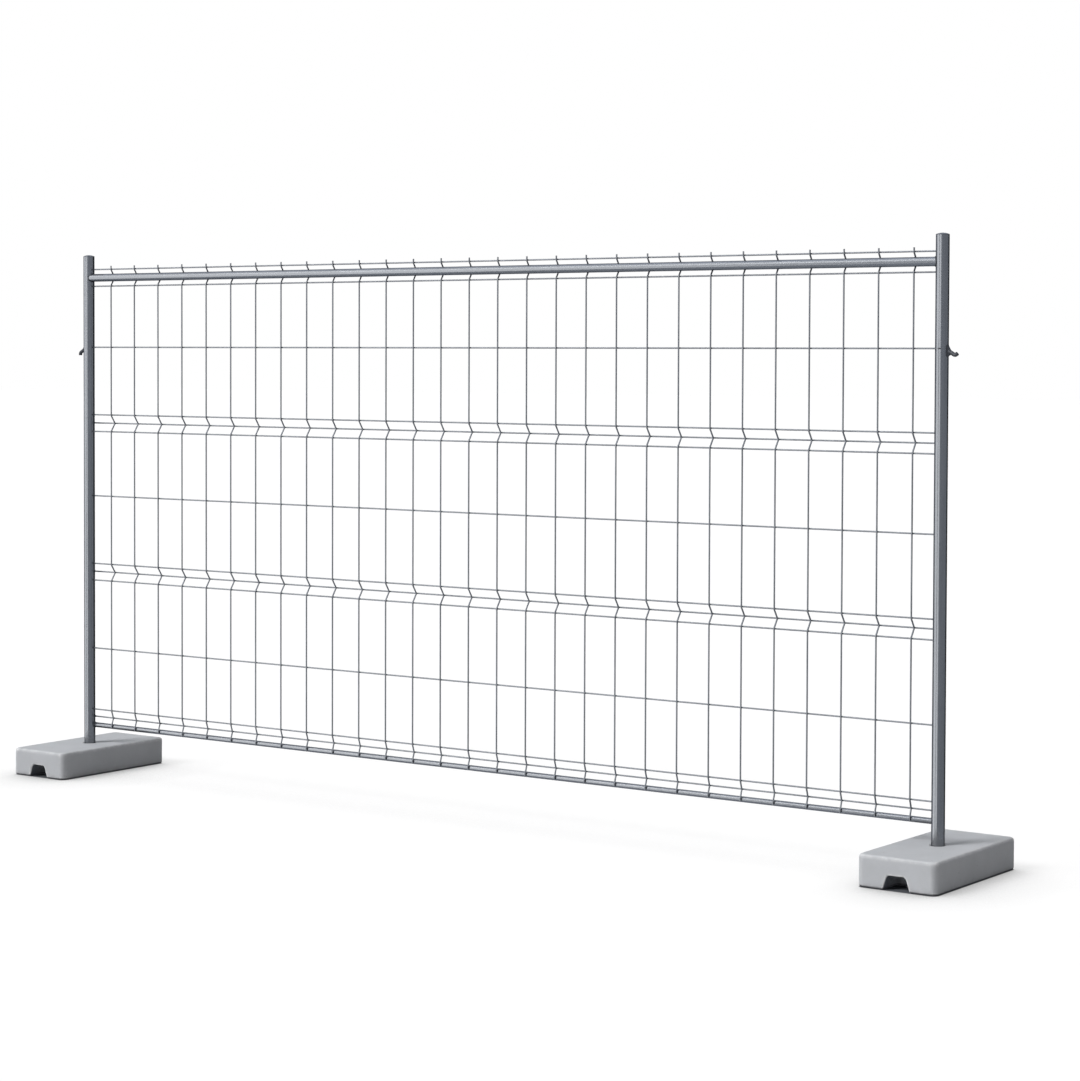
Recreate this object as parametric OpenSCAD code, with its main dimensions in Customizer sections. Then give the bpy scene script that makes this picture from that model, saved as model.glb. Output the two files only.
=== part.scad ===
// Temporary site fence panel: a folded wire mesh in a tube frame, standing in two concrete feet.
// X runs along the panel, Y from its front to its back and Z up from the ground. Sizes in millimetres.

/* [Panel] */
// Length of the panel over the outsides of its posts
panel_length = 3500; // [2400:10:4200]
// Length of each post tube
post_length = 1855; // [1500:5:2400]
// Outside diameter of the posts
post_od = 40; // [34:0.5:60]
// Wall of the post tubes
post_wall = 1.5; // [1:0.1:4]

/* [Rails] */
// Outside diameter of the top rail
top_rail_od = 28; // [20:0.5:40]
// Wall of the top rail
top_rail_wall = 1.5; // [1:0.1:3]
// Outside diameter of the bottom rail
bottom_rail_od = 18; // [12:0.5:30]
// Wall of the bottom rail
bottom_rail_wall = 1.5; // [1:0.1:3]
// Height of the bottom rail's axis over the lower ends of the posts
bottom_rail_rise = 142; // [130:1:300]

/* [Mesh] */
// Diameter of the upright wires
upright_d = 5; // [2.5:0.1:6]
// Diameter of the long wires
long_d = 5; // [2.5:0.1:6]
// Distance from one upright wire to the next
upright_pitch = 116.25; // [100:0.25:200]
// Distance from the left post's axis to the first upright wire
first_upright_offset = 113; // [60:1:150]
// Least distance from the last upright wire to the right post's axis
least_last_offset = 60; // [40:1:100]
// Distance of the upright wires' axes in front of the posts' middle
upright_set = 1.5; // [0:0.1:6]
// Distance from the post tube's top down to the uppermost long wire
top_wire_drop = 47; // [25:1:120]
// Length of the wire tips over the uppermost long wire
tip_length = 12; // [5:1:25]
// Share of the free height between the folds that the upper bay takes, in percent
upper_bay_share = 32.85; // [30:0.05:36]
// The same for the middle bay; the lower bay has the rest
middle_bay_share = 33.9; // [30:0.05:36]
// Distance from a fold down to the single wire under it: upper bay
upper_single_drop = 222; // [150:1:300]
// The same in the middle bay
middle_single_drop = 235; // [150:1:300]
// The same in the lower bay
lower_single_drop = 249; // [150:1:300]

/* [Folds] */
// Height from an outer long wire of a fold to the wire at its apex
fold_step = 30.5; // [26:0.5:45]
// Lean of the fold's legs from the upright
fold_angle = 34; // [20:1:38]
// Height from the bottom fold's upper long wire to its apex wire
bottom_fold_step = 27.5; // [20:0.5:40]
// Lean of the bottom fold's legs
bottom_fold_angle = 18; // [10:1:25]
// Distance from the bottom fold's apex wire down to the bottom rail's axis
bottom_rail_drop = 31; // [28:0.5:45]
// Centre-line radius of the bends in the upright wires
wire_bend = 6; // [5:0.5:8]
// Length of the upright wires past the bottom rail's axis
upright_overlap = 4; // [0:0.5:8]

/* [Post caps] */
// Height of a cap's dome
cap_rise = 4; // [2:0.5:10]
// Thickness of the cap's rim
cap_rim = 1.5; // [1:0.1:4]
// Length of the plug in the tube
cap_plug = 10; // [5:0.5:30]

/* [Hooks] */
// Distance from the post tube's top down to the hooks
hook_drop = 343; // [200:1:700]
// Diameter of the hook bar
hook_bar = 12; // [6:0.5:14]
// Fall of the hook bar away from the post, in degrees
hook_slope = 31; // [20:1:45]
// Distance from the post's side to the bend of the left hook
left_hook_reach = 24; // [16:0.5:30]
// Distance from the post's side to the bend of the right hook
right_hook_reach = 23; // [12:0.5:30]
// Length of a hook's turned end
hook_lip = 9; // [8:0.5:20]
// Rise of the right hook's turned end, in degrees
right_lip_rise = 38; // [30:1:80]
// Centre-line radius of the bend in a hook
hook_bend = 7; // [6:0.5:8]

/* [Feet] */
// Length of a foot, across the panel
foot_length = 520; // [350:5:800]
// Width of a foot, along the panel
foot_width = 255; // [160:5:400]
// Height of a foot
foot_height = 97; // [80:1:120]
// Radius of a foot's upright corners
foot_corner = 22; // [5:1:40]
// Radius of a foot's upper edges
foot_edge = 10; // [3:1:20]
// Radius of a foot's lower edges
foot_base_edge = 7; // [1:0.5:12]
// Thickness of concrete under the post
socket_floor = 20; // [15:1:40]
// Bevel of the socket's mouth
socket_bevel = 3; // [1:0.5:6]
// Width of a hand-hold at the ground
hold_foot_width = 88; // [80:1:130]
// Width of a hand-hold at its roof
hold_roof_width = 58; // [40:1:70]
// Height of a hand-hold
hold_height = 43; // [25:1:50]
// Depth of a hand-hold from the foot's end
hold_depth = 90; // [40:1:120]
// Radius of the hand-hold's upper corners
hold_corner = 9; // [3:0.5:12]

/* [Fits] */
// Gap between welded pieces, which the weld fills
weld_gap = 0.1; // [0.05:0.01:0.3]
// Gap round a cap's plug
cap_gap = 0.1; // [0.05:0.01:0.3]
// Gap all round a post in its socket
socket_gap = 2; // [0.5:0.1:5]
// Gap under a post on the socket's floor
seat_gap = 0.3; // [0.2:0.1:1]

/* [Hidden] */
$fn = 48;

// A bend is a hair thicker than its bar and runs on past its ends, so that it takes in the straight lengths
bend_swell = 0.03;
bend_lap = 3;
straight_lap = 0.1;

// How far a cutter runs past the faces it opens
cut_over = 1;

// Posts and feet
post_r = post_od / 2;
post_x = (panel_length - post_od) / 2;
post_foot_z = socket_floor + seat_gap;
post_top_z = post_foot_z + post_length;
socket_r = post_r + socket_gap;
hook_z = post_top_z - hook_drop;

// Heights of the long wires and rails, from the ground
bottom_rail_z = post_foot_z + bottom_rail_rise;
bottom_apex_z = bottom_rail_z + bottom_rail_drop;
bottom_upper_z = bottom_apex_z + bottom_fold_step;
top_wire_z = post_top_z - top_wire_drop;
top_rail_z = top_wire_z - fold_step;
top_lower_z = top_rail_z - fold_step;
bays = top_lower_z - bottom_upper_z - 4 * fold_step;
upper_fold_z = top_lower_z - bays * upper_bay_share / 100 - fold_step;
lower_fold_z = upper_fold_z - bays * middle_bay_share / 100 - 2 * fold_step;

// The upright wires stand near the posts' middle, so that both rails meet the round of the posts,
// and the long wires lie behind them
wire_step = (upright_d + long_d) / 2 + weld_gap;
upright_y = -upright_set;
long_y = upright_y + wire_step;

// Outlines of the folds: a bend's length along its leg, the sharp apex and the rounded one
function bend_run(turn) = wire_bend * tan(turn / 2);
function sharp_depth(step, lean) = (step - bend_run(lean)) * tan(lean);
function round_depth(step, lean) = sharp_depth(step, lean) - wire_bend * (1 / cos(lean) - 1);
fold_apex_y = long_y + round_depth(fold_step, fold_angle);
bottom_apex_y = long_y + round_depth(bottom_fold_step, bottom_fold_angle);

// The top rail lies against both legs of its fold, the bottom rail behind the wire ends
top_rail_seat = (top_rail_od + upright_d) / 2 + weld_gap;
top_rail_y = upright_y + sharp_depth(fold_step, fold_angle) - top_rail_seat / cos(fold_angle);
bottom_rail_y = upright_y + (bottom_rail_od + upright_d) / 2 + weld_gap;

// Upright wires fill the panel from the left
upright_count = floor((2 * post_x - first_upright_offset - least_last_offset) / upright_pitch) + 1;
function upright_x(i) = -post_x + first_upright_offset + (i - 1) * upright_pitch;
function upright_name(i) = str("vertical_wire_", i < 10 ? "0" : "", i);

// Long wires: name, height and place across the panel
LONG_WIRES = [
    ["top_wire", top_wire_z, long_y],
    ["under_rail_wire", top_lower_z, long_y],
    ["upper_single_wire", top_lower_z - upper_single_drop, long_y],
    ["upper_fold_top_wire", upper_fold_z + fold_step, long_y],
    ["upper_fold_apex_wire", upper_fold_z, fold_apex_y],
    ["upper_fold_bottom_wire", upper_fold_z - fold_step, long_y],
    ["middle_single_wire", upper_fold_z - fold_step - middle_single_drop, long_y],
    ["lower_fold_top_wire", lower_fold_z + fold_step, long_y],
    ["lower_fold_apex_wire", lower_fold_z, fold_apex_y],
    ["lower_fold_bottom_wire", lower_fold_z - fold_step, long_y],
    ["lower_single_wire", lower_fold_z - fold_step - lower_single_drop, long_y],
    ["bottom_fold_top_wire", bottom_upper_z, long_y],
    ["bottom_fold_apex_wire", bottom_apex_z, bottom_apex_y]
];

// A fold of the upright wires as sharp corners [y, z], from its upper corner to its lower one
function fold(apex_z, step, lean) = let (
    half = step - bend_run(lean),
    back = upright_y + sharp_depth(step, lean)
) [[upright_y, apex_z + half], [back, apex_z], [upright_y, apex_z - half]];

UPRIGHT_PATH = concat(
    [[upright_y, top_wire_z + tip_length]],
    fold(top_rail_z, fold_step, fold_angle),
    fold(upper_fold_z, fold_step, fold_angle),
    fold(lower_fold_z, fold_step, fold_angle),
    fold(bottom_apex_z, bottom_fold_step, bottom_fold_angle),
    [[upright_y, bottom_rail_z - upright_overlap]]
);

// Heading in degrees from one point to the next, and a turn between -180 and 180
function heading(a, b) = atan2(b[1] - a[1], b[0] - a[0]);
function turn(a, b, c) = let (t = heading(b, c) - heading(a, b)) t > 180 ? t - 360 : t < -180 ? t + 360 : t;
function trim(path, k, radius) =
    k == 0 || k == len(path) - 1 ? 0 : radius * tan(abs(turn(path[k - 1], path[k], path[k + 1])) / 2);

// A round bar in the XY plane along sharp corners, each bent to one radius
module bent_bar(path, diameter, radius) {
    last = len(path) - 1;
    for (k = [0 : last - 1]) {
        way = heading(path[k], path[k + 1]);
        start = trim(path, k, radius) - (k == 0 ? 0 : straight_lap);
        stop = trim(path, k + 1, radius) - (k == last - 1 ? 0 : straight_lap);
        length = norm(path[k + 1] - path[k]) - start - stop;
        translate(path[k] + start * [cos(way), sin(way)])
            rotate([0, 90, way])
                cylinder(d = diameter, h = length);
    }
    for (k = [1 : last - 1]) {
        way = heading(path[k - 1], path[k]);
        bend = turn(path[k - 1], path[k], path[k + 1]);
        side = sign(bend);
        centre = path[k] - trim(path, k, radius) * [cos(way), sin(way)] + side * radius * [-sin(way), cos(way)];
        translate(centre)
            rotate([0, 0, side > 0 ? way - 90 : way + bend + 90])
                rotate([0, 0, -bend_lap])
                    rotate_extrude(angle = abs(bend) + 2 * bend_lap)
                        translate([radius, 0])
                            circle(d = diameter + 2 * bend_swell);
    }
}

// A rectangle with its own radius at the upper and lower corners, standing on Y = 0
module rounded_face(width, height, upper, lower) {
    for (side = [-1, 1]) {
        translate([side * (width / 2 - upper), height - upper])
            circle(r = upper);
        translate([side * (width / 2 - lower), lower])
            circle(r = lower);
    }
    translate([-width / 2, lower])
        square([width, height - upper - lower]);
    translate([-width / 2 + upper, height / 2])
        square([width - 2 * upper, height / 2]);
    translate([-width / 2 + lower, 0])
        square([width - 2 * lower, height / 2]);
}

// Outline of a hand-hold: a trapezoid whose upper corners are rounded
module hold_outline() {
    wall = atan2(hold_height, (hold_foot_width - hold_roof_width) / 2);
    roof_x = hold_roof_width / 2 - hold_corner * tan(wall / 2);
    roof_z = hold_height - hold_corner;
    cheek = hold_corner * [sin(wall), cos(wall)];
    for (side = [-1, 1])
        translate([side * roof_x, roof_z])
            circle(r = hold_corner);
    polygon([
        [-hold_foot_width / 2, 0],
        [hold_foot_width / 2, 0],
        [roof_x + cheek[0], roof_z + cheek[1]],
        [roof_x, hold_height],
        [-roof_x, hold_height],
        [-roof_x - cheek[0], roof_z + cheek[1]]
    ]);
}

// Cutter that shapes what is welded to the round side of a post
module post_cutter(side) {
    translate([side * post_x, 0, 0])
        cylinder(r = post_r + weld_gap, h = post_top_z);
}

// Concrete foot: rounded block, blind socket for the post and a hand-hold under each end
module foot(side) {
    color("darkgray")
        translate([side * post_x, 0, 0])
            difference() {
                intersection() {
                    linear_extrude(height = foot_height)
                        translate([0, -foot_length / 2])
                            rounded_face(foot_width, foot_length, foot_corner, foot_corner);
                    translate([0, foot_length / 2, 0])
                        rotate([90, 0, 0])
                            linear_extrude(height = foot_length)
                                rounded_face(foot_width, foot_height, foot_edge, foot_base_edge);
                    translate([-foot_width / 2, 0, 0])
                        rotate([90, 0, 90])
                            linear_extrude(height = foot_width)
                                rounded_face(foot_length, foot_height, foot_edge, foot_base_edge);
                }
                translate([0, 0, socket_floor])
                    cylinder(r = socket_r, h = foot_height);
                translate([0, 0, foot_height - socket_bevel])
                    cylinder(r1 = socket_r, r2 = socket_r + 2 * socket_bevel, h = 2 * socket_bevel);
                for (end = [0, 180])
                    rotate([0, 0, end])
                        translate([0, -foot_length / 2 + hold_depth, 0])
                            rotate([90, 0, 0])
                                linear_extrude(height = 2 * hold_depth)
                                    hold_outline();
            }
}

// Round post, an open tube that stands on the floor of its socket
module post(side) {
    color("silver")
        translate([side * post_x, 0, post_foot_z])
            difference() {
                cylinder(d = post_od, h = post_length);
                translate([0, 0, -cut_over])
                    cylinder(d = post_od - 2 * post_wall, h = post_length + 2 * cut_over);
            }
}

// Domed cap with a plug in the top of the post
module post_cap(side) {
    dome_r = (post_r * post_r + cap_rise * cap_rise) / (2 * cap_rise);
    color("lightgray")
        translate([side * post_x, 0, post_top_z + weld_gap]) {
            intersection() {
                translate([0, 0, cap_rim + cap_rise - dome_r])
                    sphere(r = dome_r);
                cylinder(d = post_od, h = cap_rim + cap_rise);
            }
            translate([0, 0, -cap_plug])
                cylinder(r = post_r - post_wall - cap_gap, h = cap_plug + cap_rim / 2);
        }
}

// Rail tube between the posts, its ends shaped to their round sides
module rail(diameter, wall, y, z) {
    color("silver")
        difference() {
            translate([-post_x, y, z])
                rotate([0, 90, 0])
                    cylinder(d = diameter, h = 2 * post_x);
            translate([-post_x - cut_over, y, z])
                rotate([0, 90, 0])
                    cylinder(d = diameter - 2 * wall, h = 2 * (post_x + cut_over));
            post_cutter(-1);
            post_cutter(1);
        }
}

module top_rail() {
    rail(top_rail_od, top_rail_wall, top_rail_y, top_rail_z);
}

module bottom_rail() {
    rail(bottom_rail_od, bottom_rail_wall, bottom_rail_y, bottom_rail_z);
}

// Hook bar welded to a post's outer side: it falls away from the post and its end turns up or down
module hook(side, reach, lip) {
    knee = [post_r + reach, -reach * tan(hook_slope) / 2];
    root = knee + (post_r + reach) / cos(hook_slope) * [-cos(hook_slope), sin(hook_slope)];
    tip = knee + hook_lip * [cos(lip), sin(lip)];
    color("silver")
        difference() {
            translate([side * post_x, 0, hook_z])
                mirror([side < 0 ? 1 : 0, 0, 0])
                    rotate([90, 0, 0])
                        bent_bar([root, knee, tip], hook_bar, hook_bend);
            post_cutter(side);
        }
}

module left_hook() {
    hook(-1, left_hook_reach, -90);
}

module right_hook() {
    hook(1, right_hook_reach, right_lip_rise);
}

// Long wire, cut off where it meets the posts
module long_wire(z, y) {
    near = max(0, abs(y) - long_d / 2);
    reach = post_x - sqrt(max(0, post_r * post_r - near * near)) - weld_gap;
    color("gainsboro")
        translate([-reach, y, z])
            rotate([0, 90, 0])
                cylinder(d = long_d, h = 2 * reach);
}

// Upright wire with its folds, from the tip over the top rail down to the bottom rail
module upright_wire(i) {
    color("gainsboro")
        translate([upright_x(i), 0, 0])
            rotate([90, 0, 90])
                bent_bar(UPRIGHT_PATH, upright_d, wire_bend);
}

foot(-1);  // left_foot
foot(1);  // right_foot
post(-1);  // left_post
post(1);  // right_post
post_cap(-1);  // left_post_cap
post_cap(1);  // right_post_cap
top_rail();
bottom_rail();
left_hook();
right_hook();
for (wire = LONG_WIRES)
    long_wire(wire[1], wire[2]);
for (i = [1 : upright_count])
    upright_wire(i);
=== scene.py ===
# %% [markdown]
# A panel of temporary site fence: a wire mesh with folds pressed into it, in a frame of galvanised
# tubes, standing in two concrete feet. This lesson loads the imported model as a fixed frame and
# builds the finished surfaces around it, one kind of piece at a time.

# %% Load the frame
import math

import bmesh
import bpy
from mathutils import Matrix, Vector


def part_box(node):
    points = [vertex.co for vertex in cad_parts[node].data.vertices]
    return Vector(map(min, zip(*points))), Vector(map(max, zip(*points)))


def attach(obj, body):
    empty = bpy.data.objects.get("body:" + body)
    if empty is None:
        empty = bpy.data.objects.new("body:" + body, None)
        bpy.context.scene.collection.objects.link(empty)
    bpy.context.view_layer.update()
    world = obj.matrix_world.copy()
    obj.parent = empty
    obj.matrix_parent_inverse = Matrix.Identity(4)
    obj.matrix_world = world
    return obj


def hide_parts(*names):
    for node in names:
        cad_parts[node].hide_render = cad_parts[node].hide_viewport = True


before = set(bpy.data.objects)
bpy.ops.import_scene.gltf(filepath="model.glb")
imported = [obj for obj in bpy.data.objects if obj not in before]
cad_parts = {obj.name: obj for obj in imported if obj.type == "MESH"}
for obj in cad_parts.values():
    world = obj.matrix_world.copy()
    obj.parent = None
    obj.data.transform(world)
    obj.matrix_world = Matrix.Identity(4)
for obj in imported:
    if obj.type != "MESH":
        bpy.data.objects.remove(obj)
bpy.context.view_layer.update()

MM = 0.001
scene = bpy.context.scene
scene.view_settings.view_transform = "Standard"

# %% [markdown]
# The camera comes first, so that every later step can be judged from the same place. Its position
# was worked out from the vanishing points of the posts, rails and feet. It looks along the panel
# from the right, almost level, with a long lens. Tilting it down to take in the feet would make the
# posts lean, so the frame is shifted down instead, as with a shift lens.

# %% Camera
IMAGE_WIDTH = 1080
IMAGE_HEIGHT = 1081
FOCAL_PIXELS = 2683.4
OPTICAL_CENTRE = (540.0, 440.0)
CAMERA_PLACE = Vector((5.3172, -7.0178, 1.5218))
HEADING = math.radians(-35.581)
DIP = math.radians(1.810)
ROLL = math.radians(0.194)
SENSOR = 36.0
FARTHEST = 500


def camera_turn():
    level = Vector((math.sin(HEADING), math.cos(HEADING), 0))
    ahead = level * math.cos(DIP) - Vector((0, 0, math.sin(DIP)))
    upward = Vector((0, 0, math.cos(DIP))) + level * math.sin(DIP)
    across = Vector((math.cos(HEADING), -math.sin(HEADING), 0))
    right = across * math.cos(ROLL) + upward * math.sin(ROLL)
    up = upward * math.cos(ROLL) - across * math.sin(ROLL)
    return Matrix((right, up, -ahead)).transposed().to_4x4()


lens = bpy.data.cameras.new("camera")
lens.sensor_fit = "HORIZONTAL"
lens.sensor_width = SENSOR
lens.lens = SENSOR * FOCAL_PIXELS / IMAGE_WIDTH
lens.shift_x = (IMAGE_WIDTH / 2 - OPTICAL_CENTRE[0]) / IMAGE_WIDTH
lens.shift_y = (OPTICAL_CENTRE[1] - IMAGE_HEIGHT / 2) / IMAGE_WIDTH
lens.clip_end = FARTHEST
camera = bpy.data.objects.new("camera", lens)
camera.matrix_world = Matrix.Translation(CAMERA_PLACE) @ camera_turn()
scene.collection.objects.link(camera)
scene.camera = camera
print("lens", round(lens.lens, 1), "mm, shift", round(lens.shift_y, 4))

# %% [markdown]
# Node trees are easier to read when each node is one line. The first helper adds a node, sets its
# options and either links or fills its inputs, which are named by their label or their number. The
# others stand for the few kinds of node that nearly every tree here needs.

# %% Helpers for node trees


def put(tree, kind, inputs=None, **options):
    node = tree.nodes.new(kind)
    for name, value in options.items():
        setattr(node, name, value)
    for key, value in (inputs or {}).items():
        if isinstance(value, bpy.types.NodeSocket):
            tree.links.new(value, node.inputs[key])
        else:
            node.inputs[key].default_value = value
    return node


def math_node(tree, operation, a, b=0.0, c=0.0):
    return put(tree, "ShaderNodeMath", {0: a, 1: b, 2: c}, operation=operation).outputs[0]


def vector_node(tree, operation, a, b=(0, 0, 0)):
    node = put(tree, "ShaderNodeVectorMath", {0: a, 1: b}, operation=operation)
    return node.outputs["Value" if operation == "DOT_PRODUCT" else "Vector"]


def scaled(tree, vector, factor):
    return put(tree, "ShaderNodeVectorMath", {0: vector, 3: factor}, operation="SCALE").outputs[0]


def parts_of(tree, vector):
    return put(tree, "ShaderNodeSeparateXYZ", {0: vector}).outputs


def noise(tree, place, scale, detail, roughness=0.5):
    settings = {"Vector": place, "Scale": scale, "Detail": detail, "Roughness": roughness}
    return put(tree, "ShaderNodeTexNoise", settings).outputs[0]


def ramp(tree, value, low, high, to_low=0.0, to_high=1.0):
    limits = {0: value, 1: low, 2: high, 3: to_low, 4: to_high}
    return put(tree, "ShaderNodeMapRange", limits, interpolation_type="SMOOTHSTEP").outputs[0]


def mix_value(tree, factor, a, b):
    return put(tree, "ShaderNodeMix", {0: factor, 2: a, 3: b}).outputs[0]


def mix_colour(tree, factor, a, b):
    return put(tree, "ShaderNodeMix", {0: factor, 6: a, 7: b}, data_type="RGBA").outputs[2]


# %% [markdown]
# The light could come from lamps, but their hard edges would show in the tubes. So it is one soft
# dome: a bright patch in front on the left, small enough to draw the posts' shadows on the feet, a
# broad one overhead, and a dim surround. It is set so that a surface facing up or to the front gets
# plain light, at which a colour looks as it is written. The camera sees plain white. Reflections see
# white too, and a brighter patch of shine on the left.

# %% World light
KEY_AZIMUTH = math.radians(-121)
KEY_HEIGHT = math.radians(38)
KEY_SPREAD = (16, 8)
KEY_LIGHT = 19.5
TOP_RISE = (0.45, 0.9)
TOP_LIGHT = 0.50
SURROUND = 0.19
SHINE_AZIMUTH = math.radians(-122)
SHINE_SPREAD = (55, 40)
SHINE = 1.4


def direction(azimuth, height):
    level = math.cos(height)
    return Vector((level * math.cos(azimuth), level * math.sin(azimuth), math.sin(height)))


def patch(tree, way, towards, spread, outside=0.0, inside=1.0):
    """Fade round one direction, between an outer and an inner angle in degrees."""
    facing = vector_node(tree, "DOT_PRODUCT", way, towards)
    outer, inner = (math.cos(math.radians(angle)) for angle in spread)
    return ramp(tree, facing, outer, inner, outside, inside)


world = bpy.data.worlds.new("studio")
world.use_nodes = True
scene.world = world
tree = world.node_tree
tree.nodes.clear()
way = put(tree, "ShaderNodeTexCoord").outputs["Generated"]
key_patch = patch(tree, way, direction(KEY_AZIMUTH, KEY_HEIGHT), KEY_SPREAD)
top_patch = ramp(tree, parts_of(tree, way)["Z"], *TOP_RISE)
lit = math_node(tree, "MULTIPLY_ADD", key_patch, KEY_LIGHT, SURROUND)
lit = math_node(tree, "MULTIPLY_ADD", top_patch, TOP_LIGHT, lit)
path = put(tree, "ShaderNodeLightPath").outputs
mirrored = math_node(tree, "MAXIMUM", path["Is Glossy Ray"], path["Is Transmission Ray"])
seen = math_node(tree, "MAXIMUM", path["Is Camera Ray"], mirrored)
shine_patch = patch(tree, way, direction(SHINE_AZIMUTH, 0.0), SHINE_SPREAD, 0.0, SHINE)
white = math_node(tree, "MULTIPLY_ADD", mirrored, shine_patch, 1.0)
strength = mix_value(tree, seen, lit, white)
dome = put(tree, "ShaderNodeBackground", {"Color": (1, 1, 1, 1), "Strength": strength})
put(tree, "ShaderNodeOutputWorld", {"Surface": dome.outputs[0]})
print("key light", KEY_LIGHT, "top light", TOP_LIGHT)

# %% [markdown]
# A material starts here as an empty node tree. A few measures recur in the floor and the concrete: how
# far a point lies past a limit, how far two such distances reach together, and how far a point lies
# beside the middle of the nearer foot. The feet mirror each other, so the size of X stands for both.

# %% Helpers for materials


def material(name):
    made = bpy.data.materials.new(name)
    made.use_nodes = True
    made.node_tree.nodes.clear()
    return made, made.node_tree


def paint_over(tree, colour, mask, share, paint):
    return mix_colour(tree, math_node(tree, "MULTIPLY", mask, share), colour, paint)


def excess(tree, value, limit):
    return math_node(tree, "MAXIMUM", math_node(tree, "SUBTRACT", value, limit), 0.0)


def distance(tree, a, b):
    squares = math_node(tree, "ADD", math_node(tree, "POWER", a, 2.0), math_node(tree, "POWER", b, 2.0))
    return math_node(tree, "SQRT", squares)


def beside_foot(tree, x):
    low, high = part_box("right_foot")
    from_middle = math_node(tree, "SUBTRACT", math_node(tree, "ABSOLUTE", x), (low.x + high.x) / 2)
    return math_node(tree, "ABSOLUTE", from_middle)


# %% [markdown]
# The floor is a wide white sheet. More light would make it white but bleach the feet, so it takes the
# shadows as any matt surface does, and a glow that only the camera sees lifts it to the white of the
# background. The glow fades in the corner between floor and feet, most of all in front and on the
# right, where the photograph has its soft shadow. Under each foot the ground never gets light, so it
# is painted dark there as shade, which shows in the hand-holds and as a thin line along the lower edges.

# %% Floor
FLOOR_SIZE = 160.0
FLOOR_COLOUR = (0.50, 0.50, 0.505, 1)
FLOOR_SEEN = (0.20, 0.20, 0.202, 1)
FLOOR_GLOW = 0.82
# painted shade: the floor under each foot is coloured dark
SHADE_UNDER_FOOT = (0.100, 0.106, 0.118, 1)
UNDER_CORNER = 22 * MM
UNDER_EDGE = (2 * MM, -4 * MM)
CORNER_REACH = 0.30
CORNER_TILT = (-0.35, 0.49, 1.0)
CORNER_SAMPLES = 4
CORNER_SHADE = 0.8

floor_material, tree = material("white_floor")
spot = parts_of(tree, put(tree, "ShaderNodeTexCoord").outputs["Object"])
low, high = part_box("right_foot")
half_width = (high.x - low.x) / 2
half_length = (high.y - low.y) / 2
over_x = excess(tree, beside_foot(tree, spot["X"]), half_width - UNDER_CORNER)
over_y = excess(tree, math_node(tree, "ABSOLUTE", spot["Y"]), half_length - UNDER_CORNER)
under = ramp(tree, distance(tree, over_x, over_y), *(UNDER_CORNER + step for step in UNDER_EDGE))
tilt = vector_node(tree, "NORMALIZE", CORNER_TILT)
open_sky = put(tree, "ShaderNodeAmbientOcclusion", {"Distance": CORNER_REACH, "Normal": tilt},
               samples=CORNER_SAMPLES)
shade = math_node(tree, "POWER", open_sky.outputs["AO"], CORNER_SHADE)
bare = math_node(tree, "MULTIPLY", math_node(tree, "SUBTRACT", 1.0, under), shade)
seen = put(tree, "ShaderNodeLightPath").outputs["Is Camera Ray"]
shown = math_node(tree, "MULTIPLY", math_node(tree, "MULTIPLY", seen, bare), FLOOR_GLOW)
glow = put(tree, "ShaderNodeEmission", {"Strength": shown})
# the footprint mask paints the floor dark as shade and takes its glow away
sheet_colour = mix_colour(tree, under, mix_colour(tree, seen, FLOOR_COLOUR, FLOOR_SEEN), SHADE_UNDER_FOOT)
matt = put(tree, "ShaderNodeBsdfDiffuse", {"Color": sheet_colour})
both = put(tree, "ShaderNodeAddShader", {0: matt.outputs[0], 1: glow.outputs[0]})
put(tree, "ShaderNodeOutputMaterial", {"Surface": both.outputs[0]})

sheet = bpy.data.meshes.new("floor")
half = FLOOR_SIZE / 2
corners = [(-half, -half, 0), (half, -half, 0), (half, half, 0), (-half, half, 0)]
sheet.from_pydata(corners, [], [(0, 1, 2, 3)])
sheet.materials.append(floor_material)
floor = bpy.data.objects.new("floor", sheet)
scene.collection.objects.link(floor)
floor.visible_glossy = False
print("floor", FLOOR_SIZE, "m wide")

# %% [markdown]
# A round bar shows its form by what it mirrors. In an all-white studio bright metal would have no dark
# side, so photographers hang grey flags round it and leave one window open for the light. This flag is
# a wide shell with such a window in front on the left, which one upright bar divides. The shell is
# darkest behind the panel, a little lighter below and brightest above. Only reflections see it.

# %% Flag for the reflections
FLAG_RADIUS = 60.0
FLAG_STEP = 5
FLAG_COLOUR = (0.86, 0.91, 1.0, 1)
FLAG_GREY = 0.62
FLAG_DARK = 0.06
FLAG_BELOW = 0.16
FLAG_ABOVE = 0.90
DARK_AZIMUTH = math.radians(80)
DARK_SPREAD = (46, 26)
BELOW_RISE = (-0.2, -0.6)
ABOVE_RISE = (0.45, 0.7)
WINDOW_AZIMUTHS = (-165, -85)
WINDOW_HEIGHTS = (-25, 50)
WINDOW_BAR = (-120, -110)

flag_material, tree = material("grey_flag")
way = scaled(tree, put(tree, "ShaderNodeTexCoord").outputs["Object"], 1 / FLAG_RADIUS)
height = parts_of(tree, way)["Z"]
grey = patch(tree, way, direction(DARK_AZIMUTH, 0.0), DARK_SPREAD, FLAG_GREY, FLAG_DARK)
grey = math_node(tree, "MULTIPLY_ADD", ramp(tree, height, *BELOW_RISE), FLAG_BELOW, grey)
grey = math_node(tree, "MULTIPLY_ADD", ramp(tree, height, *ABOVE_RISE), FLAG_ABOVE, grey)
glow = put(tree, "ShaderNodeEmission", {"Color": FLAG_COLOUR, "Strength": grey})
put(tree, "ShaderNodeOutputMaterial", {"Surface": glow.outputs[0]})

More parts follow.
